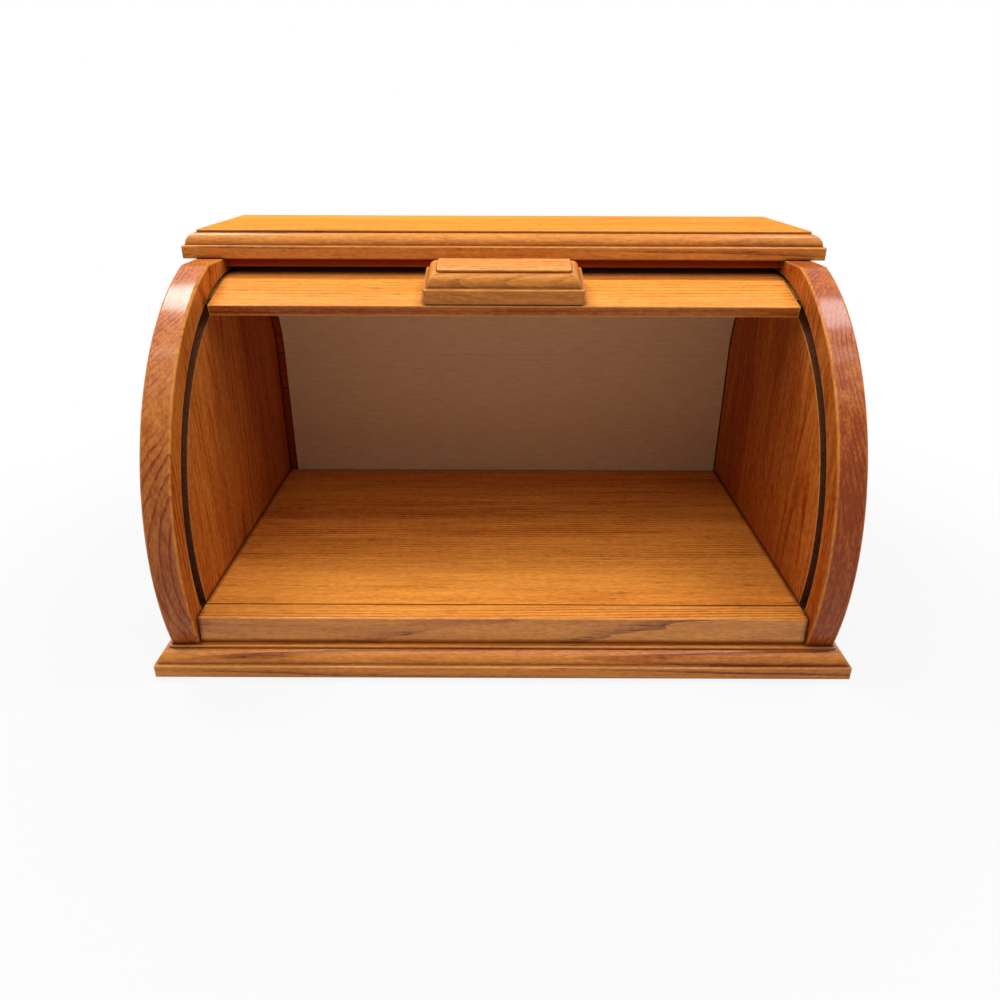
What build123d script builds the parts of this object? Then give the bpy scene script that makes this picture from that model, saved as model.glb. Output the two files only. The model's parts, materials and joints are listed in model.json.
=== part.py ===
from build123d import *
from math import acos, asin, atan2, cos, degrees, hypot, pi, radians, sin, sqrt
import os

# Roll-top bread box in oak. Millimetres, +Z up, the open front faces -Y.
# The origin is the middle of the footprint, on the surface that the pads stand on.
# The door is drawn rolled open, as it rests. Angles of the door are measured from
# straight up towards the front, about the centre of the round front edge.

os.makedirs("parts", exist_ok=True)

# Case
body_width = 440.0          # outside of one side panel to the outside of the other
side_height = 226.0
side_thick = 19.0
front_centre_height = 56.3  # centre of the round front edge above the base board
crown_rise = 7.5            # top of that round above the flat top of a side panel
crown_to_rear = 104.5       # top of that round to the rear edge of a side panel
edge_ease = 1.2             # easing of the long edges of the boards
overhang = 10.0             # base and top board beyond the case at the ends
base_lead = 2.4             # base board in front of the round front
base_thick = 19.0
top_thick = 19.0
top_clearance = 16.7        # front of the top board to the handle of the open door
header_drop = 6.0           # strip under the top board that hides the door slot
header_thick = 12.0
header_setback = 5.0        # from the front of the top board
sill_height = 19.0
sill_depth = 17.0
sill_setback = 2.0          # from the lower front corner of the side panels
sill_end_gap = 0.5
joint_ease = 0.4            # rounding of the joint between sill and floor
floor_thick = 19.0
floor_end_gap = 0.3
floor_rear_gap = 0.9        # between the floor and the cloth of the door
back_thick = 4.0
rabbet_width = 12.0         # step in the side panels that holds the back panel
back_end_gap = 0.3
pad_height = 1.5
pad_diameter = 16.0
pad_inset = 24.0

# Moulding of both boards and of the handle: a round between two small steps
mould_step = 1.9            # upright step at the top
mould_ledge = 0.7           # flat strip at the foot of that step
mould_reach = 6.0           # width and height of the round, which ends upright at its foot
mould_drop = 8.1
mould_fillet = 2.5          # flat strip at the foot of the round
mould_ease = 1.2            # rounding of the upright edge
mould_crest = 0.6           # rounding of the rim of the top
board_corner = 2.0          # rounding of the upright corners of both boards
handle_corner = 2.6

# Door groove, routed in the inner face of each side panel
groove_width = 9.5
groove_depth = 8.0
groove_inset = 16.5         # wood between the round front edge and the groove
rear_bend_radius = 80.0     # middle of the groove at the upper rear corner
rear_groove_inset = 13.5    # middle of the groove to the rear edge of the side panel

# Door: a lead rail and slats on a cloth
open_angle = 25.6           # lower edge of the lead rail, door open
closed_gap = 0.4            # lead rail above the sill, door closed
rail_width = 42.0
rail_thick = 7.2
tongue_width = 26.0         # part of the rail's ends that runs in the grooves
tongue_thick = 5.0
rail_end_gap = 2.7          # full thickness of the rail to the side panel
rail_ease = 0.8
slat_count = 18
slat_gap = 0.75             # between one slat and the next
slat_thick = 6.2
slat_bevel = 1.1
slat_end_gap = 1.0          # between the end of a slat and the bottom of its groove
cloth_thick = 0.8
cloth_joint = 0.5           # between the strips of cloth of two slats
cloth_left_gap = 7.0        # cloth to the left side panel
cloth_right_gap = 0.8
cloth_on_rail = 16.0        # cloth glued to the lead rail
tail_gap = 1.0              # between the last slat and the base board, door open

# Handle, on the middle of the lead rail
handle_length = 108.0
handle_width = 37.4
handle_height = 20.9
handle_lift = 1.2           # above the lower edge of the rail

# Fasteners
screw_shank = 4.0
screw_head = 8.0
screw_head_height = 2.4
screw_fit = 0.05            # between a screw and its hole
base_screw_length = 38.0
base_screw_spots = (48.0, 215.0)  # behind the lower front corner
handle_screw_length = 19.0
handle_screw_spacing = 70.0
dowel_diameter = 6.0
dowel_length = 24.0
dowel_inset = 6.5           # centre to the outside of the side panel
dowel_spots = (28.0, 104.0)  # behind the front of the top board
staple_width = 10.0         # crown, along the side panel
staple_wire = 1.2
staple_flat = 0.6           # thickness of the flat wire
staple_length = 14.0
staple_fit = 0.05
staple_inset = 10.0         # centre to the inner face of the side panel
staple_rows = 4
staple_end = 22.0           # top and bottom staple to the ends of the back panel

# Worked-out places
straight_up = 90.0          # direction of +Z in a side view, in degrees
mould_radius = (mould_reach**2 + mould_drop**2) / (2 * mould_reach)
mould_turn = degrees(asin(mould_drop / mould_radius))
mould_width = mould_fillet + mould_reach + mould_ledge
half_body = body_width / 2
half_inner = half_body - side_thick
front_radius = side_height - front_centre_height + crown_rise
base_depth = crown_to_rear + front_radius + base_lead
base_front = -base_depth / 2
body_rear = base_front + base_depth
base_top = pad_height + base_thick
case_top = base_top + side_height
sill_top = base_top + sill_height

centre_y = body_rear - crown_to_rear
centre_z = base_top + front_centre_height
body_front = centre_y - sqrt(front_radius**2 - front_centre_height**2)
groove_radius = front_radius - groove_inset - groove_width / 2
groove_top = centre_z + groove_radius
rear_y = body_rear - rear_groove_inset
bend_y = rear_y - rear_bend_radius
bend_z = groove_top - rear_bend_radius

# The cloth lies on the inner face of the slats, and the slats are spaced along it
glue_radius = groove_radius - slat_thick / 2
glue_bend = rear_bend_radius - slat_thick / 2
glue_straight = bend_y - centre_y

rail_low = tongue_width / 2 - rail_width
rail_high = tongue_width / 2
rail_face = glue_radius + rail_thick
rail_open = open_angle - degrees(atan2(-rail_low, rail_face))
corner_radius = hypot(rail_face, rail_low)
corner_drop = centre_z - sill_top - closed_gap
rail_closed = straight_up + degrees(asin(corner_drop / corner_radius)) - (open_angle - rail_open)
door_travel = rail_closed - rail_open

# The top board stands just behind the rear edge of the open door's handle
handle_rear = rail_low + handle_lift + handle_width
handle_edge = rail_thick + handle_height - mould_step - mould_drop
handle_rear_y = (
    centre_y
    - (glue_radius + handle_edge) * sin(radians(rail_open))
    + handle_rear * cos(radians(rail_open))
)
top_front = handle_rear_y + top_clearance
top_depth = body_rear - top_front


def box(x, y, z):
    """A block between pairs of lowest and highest coordinates."""
    size = (x[1] - x[0], y[1] - y[0], z[1] - z[0])
    middle = ((x[0] + x[1]) / 2, (y[0] + y[1]) / 2, (z[0] + z[1]) / 2)
    return Pos(*middle) * Box(*size)


def side_view(x=0.0):
    """The plane of a side view: local x is Y and local y is Z."""
    return Plane(origin=(x, 0, 0), x_dir=(0, 1, 0), z_dir=(1, 0, 0))


def moulded_edge(thick):
    """One moulded edge, from its bottom at local x 0 up to the flat top."""
    width, upright = mould_width, thick - mould_step - mould_drop
    ease, crest = mould_ease, mould_crest
    return [
        CenterArc((ease, ease), ease, 270, -90),
        Line((0, ease), (0, upright - ease)),
        CenterArc((ease, upright - ease), ease, 180, -90),
        Line((ease, upright), (mould_fillet, upright)),
        CenterArc((mould_fillet + mould_radius, upright), mould_radius, 180, -mould_turn),
        Line((width - mould_ledge, thick - mould_step), (width, thick - mould_step)),
        Line((width, thick - mould_step), (width, thick - crest)),
        CenterArc((width + crest, thick - crest), crest, 180, -90),
    ]


def moulded_face(span, thick, all_round):
    """Section of a moulded board, from local x 0 to span and from y 0 to thick."""
    near = moulded_edge(thick)
    top = mould_width + mould_crest
    if all_round:
        far = [mirror(edge, about=Plane.YZ.offset(span / 2)) for edge in near]
        high, low = (span - top, thick), (span - mould_ease, 0)
    else:
        far = [Line((span, 0), (span, thick))]
        high, low = (span, thick), (span, 0)
    return make_face(near + far + [Line((top, thick), high), Line((mould_ease, 0), low)])


def corners_rounded(x, y, z, corner, all_round):
    """Block with rounded upright corners, at the front or all round."""
    slab = box(x, y, z)
    uprights = slab.edges().filter_by(Axis.Z).sort_by(Axis.Y)
    return fillet(uprights if all_round else uprights[:2], corner)


def moulded_block(x_span, y_span, thick, corner, all_round):
    """Block moulded at the ends and front, or all round, its corner at the origin."""
    ends = Plane(origin=(0, y_span, 0), x_dir=(1, 0, 0), z_dir=(0, -1, 0))
    along = extrude(ends * moulded_face(x_span, thick, True), y_span)
    across = extrude(side_view() * moulded_face(y_span, thick, all_round), x_span)
    crown, crown_rear = mould_width, y_span - mould_width if all_round else y_span
    foot = thick - mould_step
    outer = corners_rounded((0, x_span), (0, y_span), (0, foot), corner, all_round)
    inner = corners_rounded((crown, x_span - crown), (crown, crown_rear), (foot, thick), corner, all_round)
    return along & across & (outer + inner)


def screw(length, fit=0.0):
    """Countersunk wood screw, head face at the origin, pointing along +Z."""
    shank, head = screw_shank / 2 + fit, screw_head / 2 + fit
    outline = Polyline(
        (0, 0), (head, 0), (shank, screw_head_height), (shank, length + fit), (0, length + fit), (0, 0)
    )
    return revolve(Plane.XZ * make_face(outline), Axis.Z)


def groove():
    """Side view of the door groove: the round front, the top and the rear run."""
    half = groove_width / 2
    end = straight_up + degrees(asin((centre_z - sill_top) / groove_radius))
    front = (centre_y, centre_z)
    bend = (bend_y, bend_z)
    outer, inner = groove_radius + half, groove_radius - half
    foot_y = centre_y - groove_radius * sin(radians(end))
    foot_z = centre_z + groove_radius * cos(radians(end))
    below = base_top - groove_width
    return make_face([
        CenterArc(front, outer, straight_up, end),
        Line((centre_y, groove_top + half), (bend_y, groove_top + half)),
        CenterArc(bend, rear_bend_radius + half, 0, 90),
        Line((rear_y + half, bend_z), (rear_y + half, below)),
        Line((rear_y + half, below), (rear_y - half, below)),
        Line((rear_y - half, below), (rear_y - half, bend_z)),
        CenterArc(bend, rear_bend_radius - half, 0, 90),
        Line((bend_y, groove_top - half), (centre_y, groove_top - half)),
        CenterArc(front, inner, straight_up, end),
        CenterArc((foot_y, foot_z), half, straight_up + end, 180),
    ])


def side_panel(hand):
    """Side panel with its groove and rabbet; hand is -1 on the left and 1 on the right."""
    low = straight_up + degrees(asin(front_centre_height / front_radius))
    high = degrees(acos((side_height - front_centre_height) / front_radius))
    nose_y = centre_y - front_radius * sin(radians(high))
    outline = make_face([
        CenterArc((centre_y, centre_z), front_radius, straight_up + high, low - high),
        Line((body_front, base_top), (body_rear, base_top)),
        Line((body_rear, base_top), (body_rear, case_top)),
        Line((body_rear, case_top), (nose_y, case_top)),
    ])
    panel = extrude(side_view(half_inner) * outline, side_thick)
    panel = chamfer(panel.edges().filter_by(GeomType.CIRCLE), edge_ease)
    panel -= extrude(side_view(half_inner) * groove(), groove_depth)
    rabbet_x = (half_inner - side_thick, half_inner + rabbet_width)
    panel -= box(rabbet_x, (body_rear - back_thick, body_rear + back_thick), (0, case_top + base_thick))
    for hole in base_screws(screw_fit) + top_dowels(screw_fit) + back_staples(staple_fit):
        if hole.center().X > 0:
            panel -= hole
    return panel if hand > 0 else mirror(panel, about=Plane.YZ)


def base_screws(fit=0.0):
    """Screws up through the base board into the side panels."""
    x = half_inner + side_thick / 2
    spots = [(hand * x, body_front + y) for hand in (-1, 1) for y in base_screw_spots]
    return [Pos(x, y, pad_height) * screw(base_screw_length, fit) for x, y in spots]


def top_dowels(fit=0.0):
    """Dowels between the side panels and the top board."""
    x = half_body - dowel_inset
    spots = [(hand * x, top_front + y) for hand in (-1, 1) for y in dowel_spots]
    radius, length = dowel_diameter / 2 + fit, dowel_length + 2 * fit
    return [Pos(x, y, case_top) * Cylinder(radius, length) for x, y in spots]


def back_staples(fit=0.0):
    """Staples through the back panel into the rabbets, their crowns sunk flush."""
    x = half_inner + staple_inset
    step = (side_height - 2 * staple_end) / (staple_rows - 1)
    half, wire = staple_width / 2 + fit, staple_wire + fit
    rear, crown = body_rear, body_rear - staple_flat - fit
    wide = box((-wire / 2, wire / 2), (crown, rear), (-half, half))
    legs = [
        box((-wire / 2, wire / 2), (rear - staple_length - fit, crown), ends)
        for ends in ((-half, wire - half), (half - wire, half))
    ]
    staple = wide + legs[0] + legs[1]
    return [
        Pos(hand * x, 0, base_top + staple_end + row * step) * staple
        for hand in (-1, 1)
        for row in range(staple_rows)
    ]


def base_board():
    """Moulded board under the case."""
    span = body_width + 2 * overhang
    board = moulded_block(span, base_depth, base_thick, board_corner, False)
    board = Pos(-span / 2, base_front, pad_height) * board
    for hole in base_screws(screw_fit):
        board -= hole
    return board


def top_board():
    """Moulded board on the case."""
    span = body_width + 2 * overhang
    board = moulded_block(span, top_depth, top_thick, board_corner, False)
    board = Pos(-span / 2, top_front, case_top) * board
    for hole in top_dowels(screw_fit):
        board -= hole
    return board


def header_strip():
    """Strip under the top board, in front of the door slot."""
    front = top_front + header_setback
    strip = box((-half_inner, half_inner), (front, front + header_thick), (case_top - header_drop, case_top))
    return fillet(strip.edges().filter_by(Axis.X).sort_by(Axis.Z)[:2], edge_ease)


def front_sill():
    """Strip across the front, which the closed door comes down on."""
    half = half_inner - sill_end_gap
    front = body_front + sill_setback
    strip = box((-half, half), (front, front + sill_depth), (base_top, sill_top))
    for end, ease in ((0, edge_ease), (-1, joint_ease)):
        upper = strip.edges().filter_by(Axis.X).group_by(Axis.Z)[-1].sort_by(Axis.Y)
        strip = fillet(upper[end], ease)
    return strip


def floor_panel():
    """Board between the side panels that the bread lies on."""
    half = half_inner - floor_end_gap
    front = body_front + sill_setback + sill_depth
    rear = rear_y - slat_thick / 2 - cloth_thick - floor_rear_gap
    panel = box((-half, half), (front, rear), (base_top, base_top + floor_thick))
    upper = panel.edges().filter_by(Axis.X).group_by(Axis.Z)[-1]
    return fillet(upper, joint_ease)


def back_panel():
    """Thin panel in the rabbets, behind the rolled-up door."""
    half = half_inner + rabbet_width - back_end_gap
    panel = box((-half, half), (body_rear - back_thick, body_rear), (base_top, case_top))
    for hole in back_staples(staple_fit):
        panel -= hole
    return panel


def pads():
    """Four round pads under the base board."""
    x = half_body + overhang - pad_inset
    y = base_depth / 2 - pad_inset
    pad = Pos(0, 0, pad_height / 2) * Cylinder(pad_diameter / 2, pad_height)
    return [Pos(side * x, end * y, 0) * pad for side in (-1, 1) for end in (-1, 1)]


def on_cloth_line(length):
    """Point and angle at this length along the cloth line, from the top of the front arc."""
    if length <= 0:
        turn = -length / glue_radius
        return centre_y - glue_radius * sin(turn), centre_z + glue_radius * cos(turn), turn
    if length <= glue_straight:
        return centre_y + length, centre_z + glue_radius, 0.0
    bend = (length - glue_straight) / glue_bend
    if bend <= pi / 2:
        return bend_y + glue_bend * sin(bend), bend_z + glue_bend * cos(bend), -bend
    run = length - glue_straight - glue_bend * pi / 2
    return bend_y + glue_bend, bend_z - run, -pi / 2


def station(length):
    """Place on the cloth line: local y runs to the tail of the door and local z points outwards."""
    y, z, turn = on_cloth_line(length)
    return Plane(origin=(0, y, z), x_dir=(1, 0, 0), z_dir=(0, -sin(turn), cos(turn))).location


rail_station = -radians(rail_open) * glue_radius
closing = radians(door_travel) * glue_radius
door_end = glue_straight + glue_bend * pi / 2 + bend_z - base_top - tail_gap
slat_pitch = (door_end + slat_gap / 2 - rail_station - rail_high) / slat_count
slat_width = slat_pitch - slat_gap


def slat_station(number):
    """Length along the cloth line of the middle of a slat; number 1 is next to the rail."""
    return rail_station + rail_high + slat_pitch * (number - 0.5)


def lead_rail():
    """Flat rail with a tongue at each end, cut back at its lower corners."""
    reach = half_inner + groove_depth - slat_end_gap
    shoulder = half_inner - rail_end_gap
    cove = rail_thick - tongue_thick
    rail = box((-reach, reach), (rail_low, rail_high), (0, rail_thick))
    rail = fillet(rail.edges().filter_by(Axis.X).group_by(Axis.Z)[-1], rail_ease)
    past = rail_thick
    for hand in (-1, 1):
        beyond = (shoulder, reach + past)
        cut_back = box(beyond, (rail_low - past, rail_high - tongue_width), (-past, 2 * past))
        ends = (shoulder + cove, reach + past)
        thinner = box(ends, (rail_low - past, rail_high + past), (tongue_thick, 2 * past))
        round_end = Rot(90, 0, 0) * Cylinder(cove, 2 * rail_width + past)
        round_end = Pos(shoulder + cove, 0, rail_thick) * round_end
        waste = cut_back + thinner + round_end
        rail -= waste if hand > 0 else mirror(waste, about=Plane.YZ)
    for hole in handle_screws(screw_fit):
        rail -= hole
    return rail


def handle_screws(fit=0.0):
    """Screws from the inner face of the rail into the handle, in the rail's own frame."""
    x, y = handle_screw_spacing / 2, rail_low + handle_lift + handle_width / 2
    return [Pos(hand * x, y, 0) * screw(handle_screw_length, fit) for hand in (-1, 1)]


def handle():
    """Moulded block, all four sides alike, in the rail's own frame."""
    block = moulded_block(handle_length, handle_width, handle_height, handle_corner, True)
    block = Pos(-handle_length / 2, rail_low + handle_lift, rail_thick) * block
    for hole in handle_screws(screw_fit):
        block -= hole
    return block


def slat():
    """Flat slat with bevelled outer edges, in its own frame on the cloth line."""
    reach = half_inner + groove_depth - slat_end_gap
    half = slat_width / 2
    bar = box((-reach, reach), (-half, half), (0, slat_thick))
    outer = bar.edges().filter_by(Axis.X).group_by(Axis.Z)[-1]
    return chamfer(outer, slat_bevel)


def cloth(low, high):
    """Strip of the cloth under the slats, between two places along it."""
    x = (-half_inner + cloth_left_gap, half_inner - cloth_right_gap)
    return box(x, (low, high), (-cloth_thick, 0))


def save(name, shapes):
    """Write one piece, or a group of like pieces, under its name."""
    shapes = shapes if isinstance(shapes, list) else [shapes]
    solids = [solid for shape in shapes for solid in shape.solids()]
    export_step(solids[0] if len(solids) == 1 else Compound(children=solids), f"parts/{name}.step")


def hinge_of(start, end):
    """Pole in the side view and turn in degrees that carry one station to the other."""
    (y0, z0, turn0), (y1, z1, turn1) = on_cloth_line(start), on_cloth_line(end)
    turn = turn1 - turn0
    middle_y, middle_z = (y0 + y1) / 2, (z0 + z1) / 2
    lift = 1 / sin(turn / 2) * cos(turn / 2) / 2
    return middle_y - (z1 - z0) * lift, middle_z + (y1 - y0) * lift, degrees(turn)


save("base_board", base_board())
save("top_board", top_board())
save("left_side", side_panel(-1))
save("right_side", side_panel(1))
save("header_strip", header_strip())
save("front_sill", front_sill())
save("floor_panel", floor_panel())
save("back_panel", back_panel())
save("pads", pads())
save("base_screws", base_screws())
save("top_dowels", top_dowels())
save("back_staples", back_staples())

rail_place = station(rail_station)
save("lead_rail", rail_place * lead_rail())
save("handle", rail_place * handle())
save("handle_screws", [rail_place * one for one in handle_screws()])
save("cloth_lead", rail_place * cloth(rail_high - cloth_on_rail, rail_high - cloth_joint / 2))

cloth_half = (slat_pitch - cloth_joint) / 2
for number in range(1, slat_count + 1):
    place = station(slat_station(number))
    save(f"slat_{number:02d}", place * slat())
    save(f"cloth_{number:02d}", place * cloth(-cloth_half, cloth_half))

tail = on_cloth_line(slat_station(slat_count) + slat_width / 2)
print(f"door travel {door_travel:.4f} degrees about Y {centre_y:.4f} Z {centre_z:.4f}")
print(f"tail of the open door {tail[1] - base_top:.2f} above the base board")
for number in range(2, slat_count + 1):
    start = slat_station(number)
    pole_y, pole_z, turn = hinge_of(start, start - closing)
    print(f"slat {number} turns {turn:.4f} degrees about Y {pole_y:.4f} Z {pole_z:.4f}")
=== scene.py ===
"""Finishes a roll-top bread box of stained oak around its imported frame. Metres, +Z up, front to -Y."""

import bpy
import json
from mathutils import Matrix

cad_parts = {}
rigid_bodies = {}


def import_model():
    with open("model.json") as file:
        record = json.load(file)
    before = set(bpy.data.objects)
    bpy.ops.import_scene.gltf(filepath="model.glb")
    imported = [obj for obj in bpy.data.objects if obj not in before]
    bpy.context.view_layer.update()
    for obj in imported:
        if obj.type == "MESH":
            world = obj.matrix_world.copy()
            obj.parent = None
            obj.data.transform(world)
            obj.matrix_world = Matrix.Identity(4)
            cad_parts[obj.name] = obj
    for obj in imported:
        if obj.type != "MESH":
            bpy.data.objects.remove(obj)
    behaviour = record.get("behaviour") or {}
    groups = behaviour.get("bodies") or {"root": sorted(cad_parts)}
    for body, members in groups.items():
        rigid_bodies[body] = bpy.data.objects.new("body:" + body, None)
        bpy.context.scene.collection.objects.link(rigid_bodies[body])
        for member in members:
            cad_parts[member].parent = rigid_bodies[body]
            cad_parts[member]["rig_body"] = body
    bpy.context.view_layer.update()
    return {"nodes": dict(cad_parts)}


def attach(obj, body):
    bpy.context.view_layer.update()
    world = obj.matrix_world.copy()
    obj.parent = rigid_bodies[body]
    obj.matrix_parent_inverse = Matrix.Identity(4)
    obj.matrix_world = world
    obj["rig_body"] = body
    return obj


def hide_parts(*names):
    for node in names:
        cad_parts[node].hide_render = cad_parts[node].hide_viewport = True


bl_info = {
    "name": "Roll-top bread box",
    "version": (1, 0, 0),
    "blender": (4, 5, 0),
    "location": "3D View > Sidebar > Bread box",
    "description": "Finishes a roll-top bread box of stained oak around its frame",
    "category": "Object",
}

import json
import math

import bmesh
import bpy
from mathutils import Matrix, Vector

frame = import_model()

MM = 0.001
CASE = "case"
DOOR = "door"

# Reading the frame's shapes
MERGE = 1e-6                     # vertices of the frame's loose triangles closer than this are one
FLAT = math.radians(0.3)         # triangles that turn less than this are one face
SHARP = math.radians(24)         # edges that turn more than this are seen as edges
SHORT = 1.6 * MM                 # edges shorter than this lie along an arc and aren't rounded
NEAR = 0.1 * MM                  # heights closer than this are the same
GROOVE = (0.2085, 0.2095)        # the groove's faces reach this far from the middle of the box
INSIDE = 0.2015                  # the sides' inner faces reach this far from the middle of the box
RIM = (0.002, 0.012)             # area of the inner face in front of the groove
FRONT = 0.05                     # in front of this, the sides' narrow faces are the round front

# Grain of the oak
ALONG = 14.0                     # grain figure is this many times longer than wide
RING_UNIT = 20 / math.tau        # rings in a metre at a Wave texture's scale of 1
BEND_STRETCH = 3.5               # the rings wander in shorter bends than the figure is long
FIBRE_STRETCH = 4                # fibres are this many times longer than the figure
EARLY_WOOD = 0.42                # share of a ring that is porous
STAVE_SHIFT = (0.61, 0.043, 0.027)  # each slat is sawn from another place in the tree
BAND_BASE = 0.25                 # share of dark wood before the grain is added
BAND_RINGS = 0.35                # and the share that the rings add
ARRIS_REACH = 1.4 * MM           # the painted edge highlight reaches this far from an edge
CALM_FADE = 0.02                 # the rings come in over this length
CALM_DEEP = 0.08                 # and the wood behind is this much darker
SEAM_WIDTH = 0.9 * MM            # stain reaches this far from a joint
LAYERS = (                       # scale per metre, detail, roughness, share of the colour, stretch, seed
    (190, 4, 0.66, 0.36, 1, 3),              # streaks along the board
    (700, 2, 0.6, 0.35, FIBRE_STRETCH, 5),   # fibres, drawn as coarse as they need to show
    (16, 3, 0.5, 0.4, 1, 4),                 # slow change over the board
)

# Canvas
CANVAS_JOINT = 0.5 * MM          # the strips of the frame stand apart, and the canvas is one
CANVAS_DIP = 0.03 * MM           # the canvas draws in this much between two slats
CANVAS_PARTS = (80, 8)           # faces of a strip across the box and along the door
UPRIGHT = 1e-3                   # a direction that leans less than this is upright

# Studio
CAMERA_PLACE = (-0.0022, -0.5599, 0.3265)
CAMERA_PITCH = math.radians(65.02)
CAMERA_ROLL = math.radians(0.2)
CAMERA_LENS = 28.1
SENSOR = 36.0
SKY = 0.17                       # what the world gives as light, where the camera sees white
PALE = (0.28, 0.6)               # the floor turns from a shadowed grey to white between these
FLOOR_SHARE = 0.88               # and is this white close to the box
LAMPS = (                        # name, place, aim, size, watts
    ("overhead", (0, -0.2, 1.25), (0, 0, 0.1), (2.4, 1.2), 10),
    ("front", (0, -0.8, 1.25), (0, 0, 0.12), (1.2, 0.5), 2),
    ("strip", (0, -0.3, 1.25), (0, 0, 0.1), (1.6, 0.12), 3),
    ("glare_left", (-0.6, 0.35, 1.25), (-0.2, -0.1, 0.2), (0.3, 0.3), 8),
    ("glare_right", (0.6, 0.14, 1.25), (0.2, -0.1, 0.2), (0.3, 0.3), 4.5),
)

# Settings and sockets that many nodes share
TIMES = {"operation": "MULTIPLY"}
PLUS = {"operation": "ADD"}
PLUS_CLAMPED = {"operation": "ADD", "use_clamp": True}
HIGHEST = {"operation": "MAXIMUM"}
FOUR_D = {"noise_dimensions": "4D"}
SMOOTH = {"interpolation_type": "SMOOTHSTEP"}
COLOURS = {"data_type": "RGBA"}
TINT = {"data_type": "RGBA", "blend_type": "MULTIPLY"}
MIX_A, MIX_B, MIX_OUT = 6, 7, 2  # the Mix node's sockets for colours


def srgb(code):
    """Linear colour with alpha 1 from an sRGB hex code."""
    parts = [int(code[i:i + 2], 16) / 255 for i in (1, 3, 5)]
    return tuple(c / 12.92 if c <= 0.04045 else ((c + 0.055) / 1.055) ** 2.4 for c in parts) + (1.0,)


def swatch(name, description, code):
    """A colour that a user can change."""
    return bpy.props.FloatVectorProperty(
        name=name, description=description, subtype="COLOR", size=4, min=0, max=1, default=srgb(code)
    )


def length(name, description, millimetres):
    """A length that a user can change."""
    return bpy.props.FloatProperty(
        name=name, description=description, default=millimetres * MM, min=0, unit="LENGTH", precision=4
    )


class BreadBoxFinish(bpy.types.PropertyGroup):
    """Colours and fine sizes of the finish."""

    oak_light: swatch("Oak, late wood", "Smooth wood between the pores, stained golden", "#F39F42")
    oak_dark: swatch("Oak, early wood", "Porous wood at the start of each ring", "#9A3C0D")
    # This colour also paints the shade in inner corners and creases.
    oak_pore_and_crease_shade: swatch("Oak pores", "Pores that have taken up the stain", "#542007")
    # Painted highlight: a lighter colour painted along the outer edges, for the light that they catch.
    oak_edge_highlight: swatch("Oak edges", "Where sanding has thinned the stain along the edges", "#FFC270")
    # The groove colours are partly stain that soaks into routed wood and partly painted shade in the groove.
    groove_light: swatch("Groove, light", "Routed wood where the fibres stand up", "#7A4526")
    groove_dark: swatch("Groove, dark", "Routed wood that has soaked up the stain", "#3A1C0E")
    canvas: swatch("Canvas", "Unbleached cotton canvas of the door", "#F4DEB6")
    canvas_gap: swatch("Canvas, between threads", "Shade between the threads", "#D8B98E")
    plywood: swatch("Plywood", "Face veneer of the back panel", "#D2A070")
    steel: swatch("Steel", "Zinc-plated steel of screws and staples", "#B8B6AE")
    rubber: swatch("Rubber", "Pads under the base board", "#3A332C")
    ring_spacing: length("Ring spacing", "Width of one year's growth", 3.2)
    pore_width: length("Pore width", "Width of a pore, drawn as coarse as it needs to show", 0.5)
    # Painted shade: crease_reach is how far the ambient-occlusion darkening reaches around inner corners.
    crease_reach: length("Crease reach", "How far stain is left around inner corners", 3.5)
    thread_spacing: length("Thread spacing", "Between threads of the canvas", 1.1)
    edge_round: length("Edge rounding", "Rounding that sanding leaves on each board edge", 0.5)


def finish_of(context):
    """The colours and sizes that the sidebar shows."""
    return context.scene.bread_box


def blank(name):
    """A new material and its empty node tree."""
    made = bpy.data.materials.new(name)
    made.use_nodes = True
    made.node_tree.nodes.clear()
    return made, made.node_tree


def add(tree, kind, settings=None, inputs=None):
    """Adds a node, sets its settings and inputs, and links each input that is given a socket."""
    made = tree.nodes.new("ShaderNode" + kind)
    for name, value in (settings or {}).items():
        setattr(made, name, value)
    for name, value in (inputs or {}).items():
        if isinstance(value, bpy.types.NodeSocket):
            tree.links.new(value, made.inputs[name])
        else:
            made.inputs[name].default_value = value
    return made


def log_space(tree, heart, lean, upright, staves):
    """Object coordinates, and the same turned and drawn out along the tree that the board is from."""
    place = add(tree, "TexCoord").outputs["Object"]
    if staves:
        stave = add(tree, "Attribute", {"attribute_name": "stave"}).outputs["Fac"]
        shift = add(tree, "VectorMath", {"operation": "SCALE"}, {0: STAVE_SHIFT, "Scale": stave}).outputs[0]
        place = add(tree, "VectorMath", PLUS, {0: place, 1: shift}).outputs[0]
    turn = (lean[0], -math.pi / 2 + lean[1], 0) if upright else (0, lean[0], lean[1])
    log = add(
        tree, "Mapping", {"vector_type": "TEXTURE"},
        {"Vector": place, "Location": heart, "Rotation": turn, "Scale": (ALONG, 1, 1)},
    ).outputs[0]
    return place, log


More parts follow.
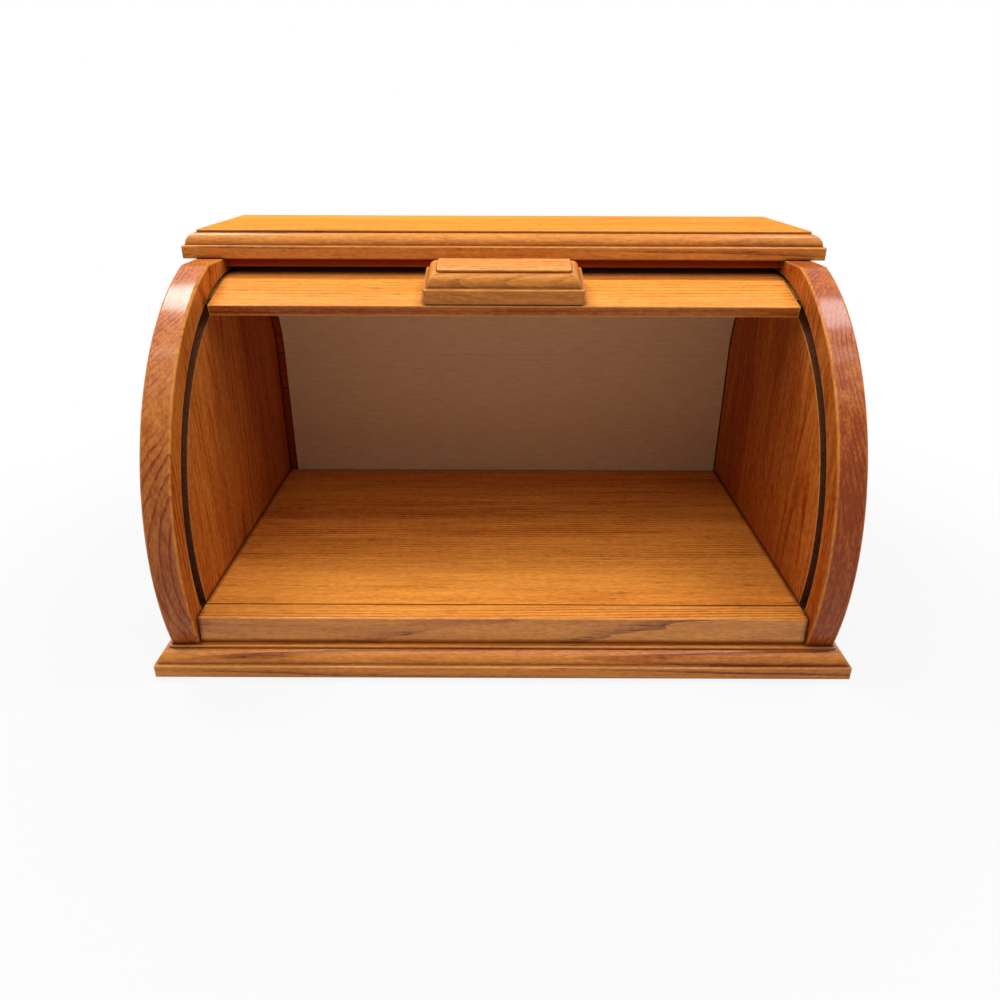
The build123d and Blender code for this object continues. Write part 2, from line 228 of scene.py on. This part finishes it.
def growth_rings(tree, look, log, seed, waver):
    """Coordinates that wander as the rings do, and how far a place is in the porous early wood."""
    bends = add(tree, "VectorMath", TIMES, {0: log, 1: (BEND_STRETCH, 1, 1)}).outputs[0]
    bends = add(
        tree, "TexNoise", FOUR_D, {"Vector": bends, "W": seed, "Scale": 7, "Detail": 1}
    ).outputs["Color"]
    bends = add(tree, "VectorMath", {"operation": "SUBTRACT"}, {0: bends, 1: (0.5, 0.5, 0.5)}).outputs[0]
    bends = add(tree, "VectorMath", {"operation": "SCALE"}, {0: bends, "Scale": waver * MM}).outputs[0]
    grown = add(tree, "VectorMath", PLUS, {0: log, 1: bends}).outputs[0]
    ring = add(
        tree, "TexWave", {"wave_type": "RINGS", "rings_direction": "X", "wave_profile": "SAW"},
        {"Vector": grown, "Scale": 1 / (look.ring_spacing * RING_UNIT), "Distortion": 1.8, "Detail": 2,
         "Detail Scale": 1.5},
    ).outputs["Fac"]
    early = add(tree, "MapRange", SMOOTH, {"Value": ring, "From Min": EARLY_WOOD, "From Max": 0}).outputs[0]
    uneven = add(
        tree, "TexNoise", FOUR_D, {"Vector": log, "W": seed + 1, "Scale": 55, "Detail": 2}
    ).outputs["Fac"]
    uneven = add(
        tree, "MapRange", None, {"Value": uneven, "From Min": 0.42, "From Max": 0.62, "To Min": 0.05}
    ).outputs[0]
    return grown, add(tree, "Math", TIMES, {0: early, 1: uneven}).outputs[0]


def open_pores(tree, look, log, seed, early):
    """Fine dark dashes, most of them in the early wood."""
    pore = add(
        tree, "TexNoise", FOUR_D,
        {"Vector": log, "W": seed + 2, "Scale": 0.5 / look.pore_width, "Detail": 2, "Roughness": 0.6},
    ).outputs["Fac"]
    pore = add(tree, "MapRange", SMOOTH, {"Value": pore, "From Min": 0.57, "From Max": 0.64}).outputs[0]
    often = add(tree, "MapRange", None, {"Value": early, "To Min": 0.3}).outputs[0]
    return add(tree, "Math", TIMES, {0: pore, 1: often}).outputs[0]


def crease_shade_and_seam(tree, look, place, seam):
    """Painted shade in inner corners and creases, darkened from ambient occlusion, and the dark stain along a
    joint across the box if there is one.
    """
    # painted shade: ambient occlusion darkens the colour where shade falls in inner corners
    crease = add(tree, "AmbientOcclusion", {"samples": 4}, {"Distance": look.crease_reach}).outputs["AO"]
    crease = add(
        tree, "MapRange", SMOOTH, {"Value": crease, "From Min": 0.98, "From Max": 0.55, "To Max": 0.95}
    ).outputs[0]
    if seam is None:
        return crease
    off = add(tree, "SeparateXYZ", None, {"Vector": place}).outputs["Y"]
    off = add(tree, "Math", {"operation": "SUBTRACT"}, {0: off, 1: seam}).outputs[0]
    off = add(tree, "Math", {"operation": "ABSOLUTE"}, {0: off}).outputs[0]
    line = add(
        tree, "MapRange", None,
        {"Value": off, "From Min": SEAM_WIDTH, "From Max": 0.5 * SEAM_WIDTH, "To Max": 0.9},
    ).outputs[0]
    return add(tree, "Math", HIGHEST, {0: crease, 1: line}).outputs[0]


def painted_edge_highlight(tree, lighten_by):
    """Painted highlight: how much lighter the colour is painted along the outer edges, where they catch the
    light.
    """
    arris = add(
        tree, "AmbientOcclusion", {"samples": 4, "inside": True, "only_local": True},
        {"Distance": ARRIS_REACH},
    ).outputs["AO"]
    return add(
        tree, "MapRange", None, {"Value": arris, "From Min": 0.92, "From Max": 0.5, "To Max": lighten_by}
    ).outputs[0]


def oak(
    context, name, heart, seed, upright=False, lean=(0, 0), staves=False,
    deep=0.0, figure=1.0, waver=24, gloss=0.3, lighten_by=0.6, calm=None, seam=None,
):
    """Oak, plain sawn, planed and sanded, with a golden stain under satin lacquer.

    The stain sinks into the open pores, which read as fine dark dashes in bands at each ring.
    Heart is a point on the middle of the tree, and lean the tree's turn against the board.
    Deep darkens a board, figure strengthens its rings, waver is how far they wander in millimetres,
    gloss is the weight of the lacquer's shine, and lighten_by is the strength of the painted highlight along
    the edges.
    Calm is how far behind the heart the rings begin to show: in front of it the board is pale and even.
    Seam is the place of a joint across the box, where stain has gathered.
    """
    look = finish_of(context)
    made, tree = blank(name)
    place, log = log_space(tree, heart, lean, upright, staves)
    grown, early = growth_rings(tree, look, log, seed, waver)
    pores = open_pores(tree, look, log, seed, early)
    if calm is not None:
        back = add(tree, "SeparateXYZ", None, {"Vector": grown}).outputs["Y"]
        back = add(
            tree, "MapRange", SMOOTH, {"Value": back, "From Min": calm, "From Max": calm + CALM_FADE}
        ).outputs[0]
        shown = add(tree, "MapRange", None, {"Value": back, "To Min": 0.12}).outputs[0]
        early = add(tree, "Math", TIMES, {0: early, 1: shown}).outputs[0]
        deep = add(
            tree, "Math", {"operation": "MULTIPLY_ADD"}, {0: back, 1: CALM_DEEP, 2: deep}
        ).outputs[0]

    band = add(tree, "Math", TIMES, {0: early, 1: BAND_RINGS * figure}).outputs[0]
    for scale, detail, rough, share, stretch, shift in LAYERS:
        drawn = add(tree, "VectorMath", TIMES, {0: log, 1: (stretch, 1, 1)}).outputs[0]
        layer = add(
            tree, "TexNoise", FOUR_D,
            {"Vector": drawn, "W": seed + shift, "Scale": scale, "Detail": detail, "Roughness": rough},
        ).outputs["Fac"]
        layer = add(
            tree, "MapRange", None,
            {"Value": layer, "From Min": 0.3, "From Max": 0.7, "To Min": -0.5 * share, "To Max": 0.5 * share},
        ).outputs[0]
        band = add(tree, "Math", PLUS, {0: band, 1: layer}).outputs[0]
    band = add(tree, "Math", PLUS, {0: band, 1: BAND_BASE}).outputs[0]
    band = add(tree, "Math", PLUS_CLAMPED, {0: band, 1: deep}).outputs[0]

    wood = add(
        tree, "Mix", COLOURS, {"Factor": band, MIX_A: look.oak_light, MIX_B: look.oak_dark}
    ).outputs[MIX_OUT]
    filled = add(tree, "Math", TIMES, {0: pores, 1: 0.75}).outputs[0]
    soaked = add(tree, "Math", TIMES, {0: early, 1: 0.28 * figure}).outputs[0]
    soaked = add(tree, "Math", PLUS_CLAMPED, {0: filled, 1: soaked}).outputs[0]
    # Pores and early wood, then painted shade in inner corners with the dark stain along a joint, then a
    # painted highlight along the outer edges.
    for shade, colour in (
        (soaked, look.oak_pore_and_crease_shade),
        (crease_shade_and_seam(tree, look, place, seam), look.oak_pore_and_crease_shade),
        (painted_edge_highlight(tree, lighten_by), look.oak_edge_highlight),
    ):
        wood = add(tree, "Mix", COLOURS, {"Factor": shade, MIX_A: wood, MIX_B: colour}).outputs[MIX_OUT]

    bump = add(tree, "Bump", None, {"Height": pores, "Strength": 0.3, "Distance": -0.1 * MM}).outputs[0]
    rough = add(tree, "MapRange", None, {"Value": pores, "To Min": 0.42, "To Max": 0.66}).outputs[0]
    shader = add(
        tree, "BsdfPrincipled", None,
        {"Base Color": wood, "Roughness": rough, "Normal": bump, "IOR": 1.5,
         "Specular IOR Level": 0.25 * gloss, "Coat Weight": gloss, "Coat Roughness": 0.15},
    )
    add(tree, "OutputMaterial", None, {"Surface": shader.outputs[0]})
    return made


def routed_oak(context, name, seed):
    """Oak, routed across the grain and left rough: the stain soaks in, dark and dull, with torn fibres; part
    of the darkness is painted shade for the recess of the groove.
    """
    look = finish_of(context)
    made, tree = blank(name)
    place = add(tree, "TexCoord").outputs["Object"]
    torn = add(
        tree, "TexNoise", FOUR_D, {"Vector": place, "W": seed, "Scale": 700, "Detail": 4, "Roughness": 0.7}
    ).outputs["Fac"]
    shade = add(tree, "MapRange", None, {"Value": torn, "From Min": 0.3, "From Max": 0.7}).outputs[0]
    wood = add(
        tree, "Mix", COLOURS, {"Factor": shade, MIX_A: look.groove_dark, MIX_B: look.groove_light}
    ).outputs[MIX_OUT]
    bump = add(tree, "Bump", None, {"Height": torn, "Strength": 0.6, "Distance": 0.3 * MM}).outputs[0]
    shader = add(
        tree, "BsdfPrincipled", None,
        {"Base Color": wood, "Roughness": 0.9, "Normal": bump, "Specular IOR Level": 0.15},
    )
    add(tree, "OutputMaterial", None, {"Surface": shader.outputs[0]})
    return made


def woven_canvas(context):
    """Cotton canvas, plain woven and unbleached: dull, with threads that cross and now and then thicken.

    The threads are drawn coarser than real ones, about 0.5 mm apart, so that they show.
    """
    look = finish_of(context)
    made, tree = blank("cotton_canvas_plain_woven")
    place = add(tree, "UVMap", {"uv_map": "cloth"}).outputs[0]
    slub = add(tree, "Mapping", None, {"Vector": place, "Scale": (1, 9, 1)}).outputs[0]
    slub = add(tree, "TexNoise", None, {"Vector": slub, "Scale": 70, "Detail": 4}).outputs["Fac"]
    threads = [
        add(
            tree, "TexWave", {"wave_type": "BANDS", "bands_direction": direction, "wave_profile": "SIN"},
            {"Vector": place, "Scale": 1 / (look.thread_spacing * RING_UNIT), "Distortion": 1.5,
             "Detail": 2, "Detail Scale": 1.5},
        ).outputs["Fac"]
        for direction in ("X", "Y")
    ]
    weave = add(tree, "Math", HIGHEST, {0: threads[0], 1: threads[1]}).outputs[0]
    lighten_by = add(
        tree, "MapRange", None, {"Value": slub, "From Min": 0.3, "From Max": 0.7, "To Min": 0.35}
    ).outputs[0]
    shade = add(tree, "Math", TIMES, {0: weave, 1: lighten_by}).outputs[0]
    colour = add(
        tree, "Mix", COLOURS, {"Factor": shade, MIX_A: look.canvas_gap, MIX_B: look.canvas}
    ).outputs[MIX_OUT]
    bump = add(tree, "Bump", None, {"Height": weave, "Strength": 0.5, "Distance": 0.2 * MM}).outputs[0]
    shader = add(
        tree, "BsdfPrincipled", None,
        {"Base Color": colour, "Roughness": 0.95, "Normal": bump, "Sheen Weight": 0.1,
         "Specular IOR Level": 0.2},
    )
    add(tree, "OutputMaterial", None, {"Surface": shader.outputs[0]})
    return made


def veneered_plywood(context):
    """Birch plywood, rotary cut and left unstained: wide soft figure and a dull face."""
    look = finish_of(context)
    made, tree = blank("birch_plywood_rotary_cut")
    place = add(tree, "TexCoord").outputs["Object"]
    log = add(tree, "Mapping", None, {"Vector": place, "Scale": (1, 8, 8)}).outputs[0]
    figure = add(
        tree, "TexNoise", None, {"Vector": log, "Scale": 5, "Detail": 5, "Distortion": 1.5}
    ).outputs["Fac"]
    fibre = add(tree, "Mapping", None, {"Vector": place, "Scale": (1, 40, 40)}).outputs[0]
    fibre = add(tree, "TexNoise", None, {"Vector": fibre, "Scale": 26, "Detail": 2}).outputs["Fac"]
    both = add(tree, "Math", TIMES, {0: figure, 1: fibre}).outputs[0]
    shade = add(
        tree, "MapRange", None,
        {"Value": both, "From Min": 0.12, "From Max": 0.4, "To Min": 0.55, "To Max": 1.1},
    ).outputs[0]
    colour = add(
        tree, "Mix", TINT, {"Factor": 1.0, MIX_A: look.plywood, MIX_B: shade}
    ).outputs[MIX_OUT]
    bump = add(tree, "Bump", None, {"Height": fibre, "Strength": 0.2, "Distance": 0.1 * MM}).outputs[0]
    shader = add(tree, "BsdfPrincipled", None, {"Base Color": colour, "Roughness": 0.7, "Normal": bump})
    add(tree, "OutputMaterial", None, {"Surface": shader.outputs[0]})
    return made


def plated_steel(context):
    """Drawn steel wire and screws, zinc plated: bright, with a faint uneven bloom."""
    look = finish_of(context)
    made, tree = blank("steel_zinc_plated")
    place = add(tree, "TexCoord").outputs["Object"]
    bloom = add(tree, "TexNoise", None, {"Vector": place, "Scale": 900, "Detail": 3}).outputs["Fac"]
    rough = add(tree, "MapRange", None, {"Value": bloom, "To Min": 0.22, "To Max": 0.5}).outputs[0]
    shade = add(tree, "MapRange", None, {"Value": bloom, "To Min": 0.75, "To Max": 1.05}).outputs[0]
    colour = add(tree, "Mix", TINT, {"Factor": 1.0, MIX_A: look.steel, MIX_B: shade}).outputs[MIX_OUT]
    shader = add(tree, "BsdfPrincipled", None, {"Base Color": colour, "Metallic": 1.0, "Roughness": rough})
    add(tree, "OutputMaterial", None, {"Surface": shader.outputs[0]})
    return made


def moulded_rubber(context):
    """Rubber, moulded: dull and nearly black, with dust that lifts it unevenly."""
    look = finish_of(context)
    made, tree = blank("rubber_moulded")
    place = add(tree, "TexCoord").outputs["Object"]
    dust = add(tree, "TexNoise", None, {"Vector": place, "Scale": 400, "Detail": 4}).outputs["Fac"]
    shade = add(tree, "MapRange", None, {"Value": dust, "To Min": 0.7, "To Max": 1.4}).outputs[0]
    colour = add(tree, "Mix", TINT, {"Factor": 1.0, MIX_A: look.rubber, MIX_B: shade}).outputs[MIX_OUT]
    bump = add(tree, "Bump", None, {"Height": dust, "Strength": 0.3, "Distance": 0.1 * MM}).outputs[0]
    shader = add(tree, "BsdfPrincipled", None, {"Base Color": colour, "Roughness": 0.8, "Normal": bump})
    add(tree, "OutputMaterial", None, {"Surface": shader.outputs[0]})
    return made


def paint(node, material):
    """Gives a frame node its material."""
    slots = frame["nodes"][node].data.materials
    slots.clear()
    slots.append(material)


def piece(name, shape, materials, body, node):
    """A new object that shows a bmesh, rides on a body and stands for a frame node."""
    mesh = bpy.data.meshes.new(name)
    shape.to_mesh(mesh)
    shape.free()
    if "custom_normal" in mesh.attributes:
        mesh.attributes.remove(mesh.attributes["custom_normal"])
    made = bpy.data.objects.new(name, mesh)
    bpy.context.scene.collection.objects.link(made)
    for one in materials:
        mesh.materials.append(one)
    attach(made, body)
    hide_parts(node)
    return made


def merged(node):
    """A frame node's shape as one closed skin of whole faces."""
    shape = bmesh.new()
    shape.from_mesh(frame["nodes"][node].data)
    bmesh.ops.remove_doubles(shape, verts=shape.verts, dist=MERGE)
    bmesh.ops.dissolve_limit(shape, angle_limit=FLAT, verts=shape.verts, edges=shape.edges)
    return shape


def mark_edges(shape):
    """Makes the faces smooth and the real edges sharp, and gives a weight to the edges to be rounded."""
    weight = shape.edges.layers.float.new("bevel_weight_edge")
    for face in shape.faces:
        face.smooth = True
    for edge in shape.edges:
        turn = edge.calc_face_angle(0)
        edge.smooth = turn < SHARP
        edge[weight] = float(turn > SHARP and edge.calc_length() > SHORT)
    return weight


def eased(made, width):
    """Rounds a piece's marked edges, and shades its faces by their size."""
    rounding = made.modifiers.new("sanded_edges", "BEVEL")
    rounding.limit_method = "WEIGHT"
    rounding.width = width
    rounding.segments = 3
    rounding.use_clamp_overlap = False
    rounding.harden_normals = False
    shading = made.modifiers.new("even_shading", "WEIGHTED_NORMAL")
    shading.keep_sharp = True
    return made


class BREADBOX_OT_case(bpy.types.Operator):
    """Base board, top board and the strip under it"""

    bl_idname = "bread_box.case"
    bl_label = "Base and top boards"

    def execute(self, context):
        width = finish_of(context).edge_round
        top_log = {"heart": (0, 0.16, 0.19), "seed": 2, "lean": (-0.01, 0.02)}
        base = oak(
            context, "oak_base_board_stained", (0, 0.05, -0.09), 1, lean=(0.01, 0.01),
            deep=0.25, figure=1.7, gloss=0.3,
        )
        rubbed = oak(context, "oak_top_board_stained", gloss=0.0, **top_log)
        # painted shade: the moulding and front faces of the top board get a darker copy of its wood, for
        # their shade under the light from above; their higher gloss is real
        mould = oak(context, "oak_top_moulding_painted_shade", deep=0.1, gloss=0.2, **top_log)
        for node, upper, lower in (("base_board", base, base), ("top_board", rubbed, mould)):
            shape = merged(node)
            weight = mark_edges(shape)
            heights = [vert.co.z for vert in shape.verts]
            for face in shape.faces:
                face.material_index = int(min(vert.co.z for vert in face.verts) < max(heights) - NEAR)
            for edge in shape.edges:
                low = max(vert.co.z for vert in edge.verts) < min(heights) + NEAR
                outer = any(abs(face.normal.z) < 0.1 for face in edge.link_faces)
                edge[weight] = float(low and outer) or edge[weight] * 0.3
            made = piece(f"moulded_{node}", shape, [upper, lower], CASE, node)
            eased(made, 2 * width)
        # painted shade: the strip under the top board gets a very dark copy of the oak, for the shadow of the
        # top board
        strip = oak(context, "oak_header_strip_painted_shade", (0, -0.02, 0.31), 3, deep=0.9, gloss=0.03)
        paint("header_strip", strip)
        return {"FINISHED"}


class BREADBOX_OT_sides(bpy.types.Operator):
    """Side panels with their routed door grooves"""

    bl_idname = "bread_box.sides"
    bl_label = "Side panels"

    def execute(self, context):
        width = finish_of(context).edge_round
        for hand, heart, lean, seed, soaked, rings in (
            ("left", (-0.29, -0.02, 0), (0.04, 0.03), 4, 0.5, 1.0),
            ("right", (0.27, -0.09, 0), (-0.05, 0.02), 5, 0.65, 1.5),
        ):
            name = f"oak_{hand}_side_"
            log = {"heart": heart, "seed": seed, "upright": True, "lean": lean}
            outside, end, groove, rim, inside = range(5)
            materials = [
                oak(context, name + "stained", deep=0.22, figure=0.9, gloss=0.2, **log),
                oak(context, name + "end_grain", deep=soaked, figure=rings, gloss=0.32, **log),
                routed_oak(context, f"oak_{hand}_groove_routed", seed),
                # painted light: the strip of the inner face in front of the groove gets a lighter copy of the
                # wood, for the light that falls on it
                oak(context, name + "rim_painted_light", deep=-0.5, figure=0.3, gloss=0.05, **log),
                # painted shade: the rest of the inner face gets a darker copy of the wood, for the shade
                # inside the box
                oak(context, name + "inside_painted_shade", deep=0.52, figure=0.9, gloss=0.12, **log),
            ]
            shape = merged(f"{hand}_side")
            mark_edges(shape)
            for face in shape.faces:
                far = max(abs(vert.co.x) for vert in face.verts)
                narrow = abs(face.normal.x) < 0.5
                if GROOVE[0] < far < GROOVE[1]:
                    face.material_index = groove
                elif face.normal.z > 0.9 or narrow and face.calc_center_median().y < FRONT:
                    face.material_index = end
                elif far < INSIDE and face.calc_area() > RIM[0]:
                    face.material_index = rim if face.calc_area() < RIM[1] else inside
                else:
                    face.material_index = outside
            made = piece(f"side_panel_{hand}", shape, materials, CASE, f"{hand}_side")
            eased(made, width)
        return {"FINISHED"}


class BREADBOX_OT_floor(bpy.types.Operator):
    """Floor board and the sill that the closed door comes down on"""

    bl_idname = "bread_box.floor"
    bl_label = "Floor and sill"

    def execute(self, context):
        seam = min(vert.co.y for vert in frame["nodes"]["floor_panel"].data.vertices)
        floor = oak(
            context, "oak_floor_stained", (0, -0.1, 0.0), 6, lean=(0.01, 0.01),
            deep=0.14, figure=1.4, waver=12, gloss=0.08, lighten_by=0, calm=0.045, seam=seam,
        )
        sill = oak(
            context, "oak_sill_stained", (0, -0.3, 0.02), 7, lean=(0.01, 0.01),
            deep=0.02, figure=1.2, gloss=0.6, lighten_by=0, seam=seam,
        )
        paint("floor_panel", floor)
        paint("front_sill", sill)
        return {"FINISHED"}


class BREADBOX_OT_back(bpy.types.Operator):
    """Back panel and the staples that hold it"""

    bl_idname = "bread_box.back"
    bl_label = "Back panel"

    def execute(self, context):
        paint("back_panel", veneered_plywood(context))
        paint("back_staples", plated_steel(context))
        return {"FINISHED"}


class BREADBOX_OT_fixings(bpy.types.Operator):
    """Screws, dowels and the pads that the box stands on"""

    bl_idname = "bread_box.fixings"
    bl_label = "Fixings and pads"

    def execute(self, context):
        steel = plated_steel(context)
        paint("base_screws", steel)
        paint("handle_screws", steel)
        paint("top_dowels", oak(context, "beech_dowels", (0, 0, 0), 8, upright=True))
        paint("pads", moulded_rubber(context))
        return {"FINISHED"}


class BREADBOX_OT_lead_rail(bpy.types.Operator):
    """Lead rail of the door and the handle on it"""

    bl_idname = "bread_box.lead_rail"
    bl_label = "Lead rail and handle"

    def execute(self, context):
        width = 0.5 * finish_of(context).edge_round
        log = {"heart": (0, -0.1, 0.08), "seed": 9, "lean": (0.01, 0.02), "figure": 0.7, "gloss": 0.2}
        rail = oak(context, "oak_lead_rail_stained", **log)
        # painted shade: the faces of the rail that look to the front get a darker copy of its wood, for their
        # shade under the light from above
        edge = oak(context, "oak_lead_rail_front_painted_shade", deep=0.45, **log)
        grip = oak(
            context, "oak_handle_stained", (0, -0.16, 0.27), 10, lean=(0.06, 0.08),
            deep=0.12, figure=0.9, gloss=0.25,
        )
        shape = merged("lead_rail")
        mark_edges(shape)
        for face in shape.faces:
            face.material_index = int(face.normal.y < -0.6)
        eased(piece("door_lead_rail", shape, [rail, edge], DOOR, "lead_rail"), width)
        shape = merged("handle")
        mark_edges(shape)
        eased(piece("moulded_handle", shape, [grip], DOOR, "handle"), width)
        return {"FINISHED"}


def numbered(kind):
    """Names of the frame nodes of a kind that are numbered from the rail to the tail, with their bodies."""
    found = sorted(name for name in frame["nodes"] if name.startswith(kind + "_"))
    return [(name, frame["nodes"][name]["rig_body"]) for name in found]


def middle_of(verts):
    """The middle of some vertices."""
    return sum((vert.co for vert in verts), Vector()) / len(verts)


class BREADBOX_OT_slats(bpy.types.Operator):
    """Slats of the roll-top door"""

    bl_idname = "bread_box.slats"
    bl_label = "Slats"

    def execute(self, context):
        width = finish_of(context).edge_round
        log = {"heart": (0, 0.2, -0.1), "seed": 11, "lean": (0.02, 0.02), "staves": True}
        wood = oak(context, "oak_slats_stained", deep=0.1, gloss=0.2, **log)
        # the slats' ends and their backs behind the canvas get a dark copy of the wood: partly end grain that
        # takes more stain, partly painted shade in the groove and behind the canvas
        sawn_and_shaded = oak(context, "oak_slats_sawn_and_shaded", deep=0.9, gloss=0.05, lighten_by=0, **log)
        for number, (name, body) in enumerate(numbered("slat")):
            shape = merged(name)
            mark_edges(shape)
            cloth = middle_of(frame["nodes"][name.replace("slat", "cloth")].data.vertices)
            out = (middle_of(frame["nodes"][name].data.vertices) - cloth).normalized()
            for face in shape.faces:
                sawn = face.normal.x ** 2 > 0.5
                face.material_index = int(sawn or face.normal.dot(out) < -0.5)
            made = eased(piece(f"door_{name}", shape, [wood, sawn_and_shaded], body, name), width)
            stave = made.data.attributes.new("stave", "FLOAT", "POINT")
            stave.data.foreach_set("value", [float(number)] * len(made.data.vertices))
        return {"FINISHED"}


def canvas_strip(name, body, material, start):
    """One slat's width of canvas, glued to it and drawn in a little at the joints. It gives its length."""
    box = merged(name)
    edges = sorted(box.edges, key=lambda edge: edge.calc_length())
    thick, wide = edges[0].calc_length(), edges[-1].calc_length()
    middle = middle_of(box.verts)
    step = next(edge for edge in edges if edge.calc_length() > 2 * thick)
    span = step.calc_length()
    tail = (step.verts[1].co - step.verts[0].co).normalized()
    box.free()
    if tail.y < 0 or (abs(tail.y) < UPRIGHT and tail.z > 0):
        tail.negate()
    across = Vector((1, 0, 0))
    inward = tail.cross(across)
    reach = span + CANVAS_JOINT

    shape = bmesh.new()
    bmesh.ops.create_grid(
        shape, x_segments=CANVAS_PARTS[0], y_segments=CANVAS_PARTS[1], size=0.5, calc_uvs=False
    )
    uv = shape.loops.layers.uv.new("cloth")
    for vert in shape.verts:
        joint = abs(2 * vert.co.y) ** 4
        vert.co = Vector((vert.co.x * wide, vert.co.y * reach, -joint * CANVAS_DIP))
    for face in shape.faces:
        face.smooth = True
        for loop in face.loops:
            loop[uv].uv = (loop.vert.co.x, loop.vert.co.y + start + reach / 2)
    bmesh.ops.solidify(shape, geom=shape.faces[:], thickness=thick)
    lowest = min(vert.co.z for vert in shape.verts)
    place = Matrix((across, tail, inward)).transposed().to_4x4()
    place.translation = middle
    bmesh.ops.transform(
        shape, matrix=place @ Matrix.Translation((0, 0, -thick / 2 - lowest)), verts=shape.verts
    )
    bmesh.ops.recalc_face_normals(shape, faces=shape.faces)
    for edge in shape.edges:
        edge.smooth = edge.calc_face_angle(0) < SHARP
    made = piece(f"canvas_{name}", shape, [material], body, name)
    return reach


class BREADBOX_OT_canvas(bpy.types.Operator):
    """Canvas that the slats are glued to"""

    bl_idname = "bread_box.canvas"
    bl_label = "Canvas"

    def execute(self, context):
        material = woven_canvas(context)
        strips = numbered("cloth")
        strips.sort(key=lambda strip: strip[0] != "cloth_lead")
        start = 0.0
        for name, body in strips:
            start += canvas_strip(name, body, material, start)
        return {"FINISHED"}


def seen_ray(tree):
    """One for rays that show the white background: to the camera, and in reflections and glass."""
    rays = add(tree, "LightPath").outputs
    seen = add(tree, "Math", HIGHEST, {0: rays["Is Camera Ray"], 1: rays["Is Glossy Ray"]}).outputs[0]
    return add(tree, "Math", HIGHEST, {0: seen, 1: rays["Is Transmission Ray"]}).outputs[0]


def studio_floor(scene):
    """A wide floor, grey by the box where it takes the shadow and white further off."""
    shape = bmesh.new()
    bmesh.ops.create_grid(shape, x_segments=8, y_segments=8, size=6)
    mesh = bpy.data.meshes.new("studio_floor")
    shape.to_mesh(mesh)
    shape.free()
    floor = bpy.data.objects.new("studio_floor", mesh)
    scene.collection.objects.link(floor)
    material, tree = blank("studio_floor_matt")
    place = add(tree, "TexCoord").outputs["Object"]
    away = add(tree, "VectorMath", {"operation": "LENGTH"}, {0: place}).outputs["Value"]
    away = add(
        tree, "MapRange", SMOOTH,
        {"Value": away, "From Min": PALE[0], "From Max": PALE[1], "To Min": FLOOR_SHARE},
    ).outputs[0]
    matt = add(tree, "BsdfDiffuse", None, {"Color": srgb("#C8C8C8")}).outputs[0]
    share = add(tree, "Math", TIMES, {0: seen_ray(tree), 1: away}).outputs[0]
    white = add(tree, "Emission", None, {"Strength": 1.0}).outputs[0]
    both = add(tree, "MixShader", None, {0: share, 1: matt, 2: white})
    add(tree, "OutputMaterial", None, {"Surface": both.outputs[0]})
    mesh.materials.append(material)


def studio_world(scene):
    """A world that lights the box softly and is seen as white."""
    world = bpy.data.worlds.new("studio")
    scene.world = world
    world.use_nodes = True
    tree = world.node_tree
    tree.nodes.clear()
    colour = add(
        tree, "Mix", COLOURS, {"Factor": seen_ray(tree), MIX_A: (SKY, SKY, SKY, 1), MIX_B: (1, 1, 1, 1)}
    ).outputs[MIX_OUT]
    sky = add(tree, "Background", None, {"Color": colour})
    add(tree, "OutputWorld", None, {"Surface": sky.outputs[0]})


def studio_lamp(scene, name, place, aim, size, watts):
    """A soft lamp that points at a place."""
    light = bpy.data.lights.new(name, "AREA")
    light.shape = "RECTANGLE"
    light.size, light.size_y = size
    light.energy = watts
    made = bpy.data.objects.new(name, light)
    made.location = place
    made.rotation_euler = (Vector(aim) - Vector(place)).to_track_quat("-Z", "Y").to_euler()
    scene.collection.objects.link(made)


def studio_camera(scene):
    """The camera, where the photograph was taken from."""
    camera = bpy.data.cameras.new("camera")
    camera.sensor_width = SENSOR
    camera.lens = CAMERA_LENS
    made = bpy.data.objects.new("camera", camera)
    turn = Matrix.Rotation(CAMERA_PITCH, 4, "X") @ Matrix.Rotation(CAMERA_ROLL, 4, "Z")
    made.matrix_world = Matrix.Translation(CAMERA_PLACE) @ turn
    scene.collection.objects.link(made)
    scene.camera = made


class BREADBOX_OT_stage(bpy.types.Operator):
    """Pale floor, soft light and the camera"""

    bl_idname = "bread_box.stage"
    bl_label = "Stage"

    def execute(self, context):
        scene = context.scene
        studio_floor(scene)
        studio_world(scene)
        for settings in LAMPS:
            studio_lamp(scene, *settings)
        scene.view_settings.view_transform = "Standard"
        studio_camera(scene)
        return {"FINISHED"}


OPERATORS = (
    BREADBOX_OT_case,
    BREADBOX_OT_sides,
    BREADBOX_OT_floor,
    BREADBOX_OT_back,
    BREADBOX_OT_fixings,
    BREADBOX_OT_lead_rail,
    BREADBOX_OT_slats,
    BREADBOX_OT_canvas,
    BREADBOX_OT_stage,
)


class BREADBOX_PT_panel(bpy.types.Panel):
    """Lists the steps and the finish"""

    bl_label = "Bread box"
    bl_idname = "BREADBOX_PT_panel"
    bl_space_type = "VIEW_3D"
    bl_region_type = "UI"
    bl_category = "Bread box"

    def draw(self, context):
        for operator in OPERATORS:
            self.layout.operator(operator.bl_idname)
        for name in BreadBoxFinish.__annotations__:
            self.layout.prop(finish_of(context), name)


CLASSES = (BreadBoxFinish, *OPERATORS, BREADBOX_PT_panel)


def register():
    for one in CLASSES:
        bpy.utils.register_class(one)
    bpy.types.Scene.bread_box = bpy.props.PointerProperty(type=BreadBoxFinish)


def unregister():
    del bpy.types.Scene.bread_box
    for one in reversed(CLASSES):
        bpy.utils.unregister_class(one)


def main():
    register()
    for operator in OPERATORS:
        family, step = operator.bl_idname.split(".")
        getattr(getattr(bpy.ops, family), step)()


if __name__ == "__main__":
    main()
